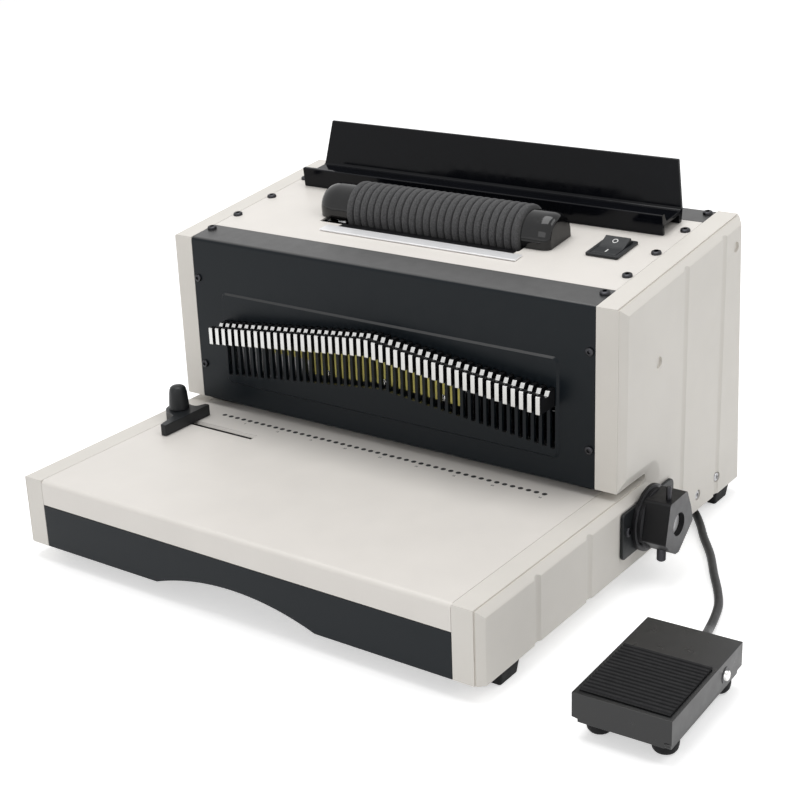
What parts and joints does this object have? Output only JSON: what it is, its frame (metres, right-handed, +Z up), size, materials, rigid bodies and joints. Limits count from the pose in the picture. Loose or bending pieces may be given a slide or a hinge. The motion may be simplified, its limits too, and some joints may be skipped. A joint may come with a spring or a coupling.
{
  "type": "coil binding machine",
  "caption": "Bench machine that punches a row of holes with a side shaft and winds plastic coil with a ribbed powered roller, with coil tray, edge guide and foot pedal.",
  "frame": {"origin": "middle of the footprint of the machine and its pedal, cord left out, on the surface they stand on", "axes": "+X towards the hub side and the pedal, +Y towards the back, +Z up"},
  "size_m": [0.5096, 0.4718, 0.2589],
  "materials": {
    "cover": "satin light grey-beige with a fine texture",
    "light_panel": "satin warm off-white powder coat",
    "black_panel": "satin black powder coat",
    "gloss_black": "glossy black",
    "black_plastic": "satin black moulding",
    "rubber": "matt black rubber",
    "foam": "matt dark grey ribbed foam rubber",
    "steel": "bare ground steel",
    "nickel": "bright nickel plate",
    "aluminium": "bright anodised aluminium",
    "brass": "bare brass"
  },
  "bodies": {
    "housing": {"side_cover_right": "cover", "side_cover_left": "cover", "table_plate": "light_panel", "base_front_panel": "black_panel", "bottom_plate": "black_panel", "foot_front_right": "rubber", "foot_front_left": "rubber", "foot_rear_right": "rubber", "foot_rear_left": "rubber", "frame_right": "steel", "frame_left": "steel", "punch_front_panel": "black_panel", "rear_panel": "black_panel", "top_plate": "light_panel", "die_block": "steel", "return_spring_left": "steel", "return_spring_right": "steel", "shaft_bush_right": "brass", "shaft_bush_left": "brass", "hub_plate": "black_plastic", "power_inlet": "black_plastic", "cord_gland": "rubber", "roller_cap_left": "gloss_black", "roller_cap_right": "gloss_black", "inserter_motor": "steel", "guide_strip": "aluminium", "coil_tray": "gloss_black", "switch_bezel": "black_plastic", "pedal_base": "black_panel", "pedal_pin": "nickel", "pedal_spring": "steel", "pedal_foot_front_left": "rubber", "pedal_foot_front_right": "rubber", "pedal_foot_rear_left": "rubber", "pedal_foot_rear_right": "rubber", "pedal_gland": "rubber", "pedal_cord_lead": "rubber", "pedal_cord_coil": "rubber", "pedal_cord_run": "rubber"},
    "punch_ram": {"punch_ram": "steel", "ram_plate": "brass"},
    "handle_shaft": {"main_shaft": "nickel", "handle_hub": "black_plastic", "hub_screw": "black_plastic"},
    "idler_shaft": {"idler_shaft": "steel"},
    "roller": {"roller_core": "aluminium", "roller_sleeve": "foam"},
    "motor_pinion": {"motor_pinion": "brass"},
    "switch_rocker": {"switch_rocker": "black_plastic"},
    "edge_guide": {"edge_guide": "black_plastic"},
    "guide_knob": {"guide_knob": "black_plastic"},
    "chip_tray": {"chip_tray": "black_panel"},
    "pedal_treadle": {"pedal_treadle": "black_panel", "pedal_pad": "rubber"},
    "pull_tab_01": {"pull_tab_01": "nickel"},
    "pull_tab_02": {"pull_tab_02": "nickel"},
    "pull_tab_03": {"pull_tab_03": "nickel"},
    "pull_tab_44": {"pull_tab_44": "nickel"},
    "pull_tab_45": {"pull_tab_45": "nickel"},
    "pull_tab_46": {"pull_tab_46": "nickel"}
  },
  "joints": [
    {"name": "ram_slide", "type": "slide", "parent": "housing", "child": "punch_ram", "axis": [0, 0, -1], "range_m": [0, 0.0251], "stiffness_N_per_m": 800, "springref_m": -0.06, "deforming": ["return_spring_left", "return_spring_right"]},
    {"name": "handle_turn", "type": "hinge", "parent": "housing", "child": "handle_shaft", "pos_m": [-0.06077, 0.01636, 0.0427], "axis": [1, 0, 0], "range_deg": [0, 90]},
    {"name": "idler_turn", "type": "hinge", "parent": "housing", "child": "idler_shaft", "pos_m": [-0.06077, 0.04836, 0.0427], "axis": [1, 0, 0], "range_deg": [-90, 0]},
    {"name": "roller_spin", "type": "hinge", "parent": "housing", "child": "roller", "pos_m": [-0.06077, 0.07017, 0.2122], "axis": [1, 0, 0], "continuous": true},
    {"name": "motor_spin", "type": "hinge", "parent": "housing", "child": "motor_pinion", "pos_m": [-0.15077, 0.07234, 0.19317], "axis": [1, 0, 0], "continuous": true},
    {"name": "switch_rock", "type": "hinge", "parent": "housing", "child": "switch_rocker", "pos_m": [0.07623, 0.07253, 0.20567], "axis": [1, 0, 0], "range_deg": [-20, 0]},
    {"name": "guide_slide", "type": "slide", "parent": "housing", "child": "edge_guide", "axis": [1, 0, 0], "range_m": [-0.001, 0.068]},
    {"name": "knob_turn", "type": "hinge", "parent": "edge_guide", "child": "guide_knob", "pos_m": [-0.22707, -0.05094, 0.0737], "axis": [0, 0, 1], "range_deg": [-180, 0]},
    {"name": "tray_slide", "type": "slide", "parent": "housing", "child": "chip_tray", "axis": [0, 1, 0], "range_m": [0, 0.18]},
    {"name": "treadle_press", "type": "hinge", "parent": "housing", "child": "pedal_treadle", "pos_m": [0.22117, -0.11145, 0.0205], "axis": [0.9994, 0.0349, 0], "range_deg": [0, 5], "stiffness_Nm_per_rad": 2, "springref_deg": -8.59, "deforming": ["pedal_spring"]},
    {"name": "pull_tab_01_pull", "type": "slide", "parent": "punch_ram", "child": "pull_tab_01", "axis": [0, -1, 0], "range_m": [0, 0.006]},
    {"name": "pull_tab_02_pull", "type": "slide", "parent": "punch_ram", "child": "pull_tab_02", "axis": [0, -1, 0], "range_m": [0, 0.006]},
    {"name": "pull_tab_03_pull", "type": "slide", "parent": "punch_ram", "child": "pull_tab_03", "axis": [0, -1, 0], "range_m": [0, 0.006]},
    {"name": "pull_tab_44_pull", "type": "slide", "parent": "punch_ram", "child": "pull_tab_44", "axis": [0, -1, 0], "range_m": [0, 0.006]},
    {"name": "pull_tab_45_pull", "type": "slide", "parent": "punch_ram", "child": "pull_tab_45", "axis": [0, -1, 0], "range_m": [0, 0.006]},
    {"name": "pull_tab_46_pull", "type": "slide", "parent": "punch_ram", "child": "pull_tab_46", "axis": [0, -1, 0], "range_m": [0, 0.006]}
  ],
  "couplings": [
    {"joint": "handle_turn", "follows": "ram_slide", "rad_per_m": 62.5},
    {"joint": "idler_turn", "follows": "ram_slide", "rad_per_m": -62.5},
    {"joint": "motor_spin", "follows": "roller_spin", "ratio": -2.1667}
  ]
}
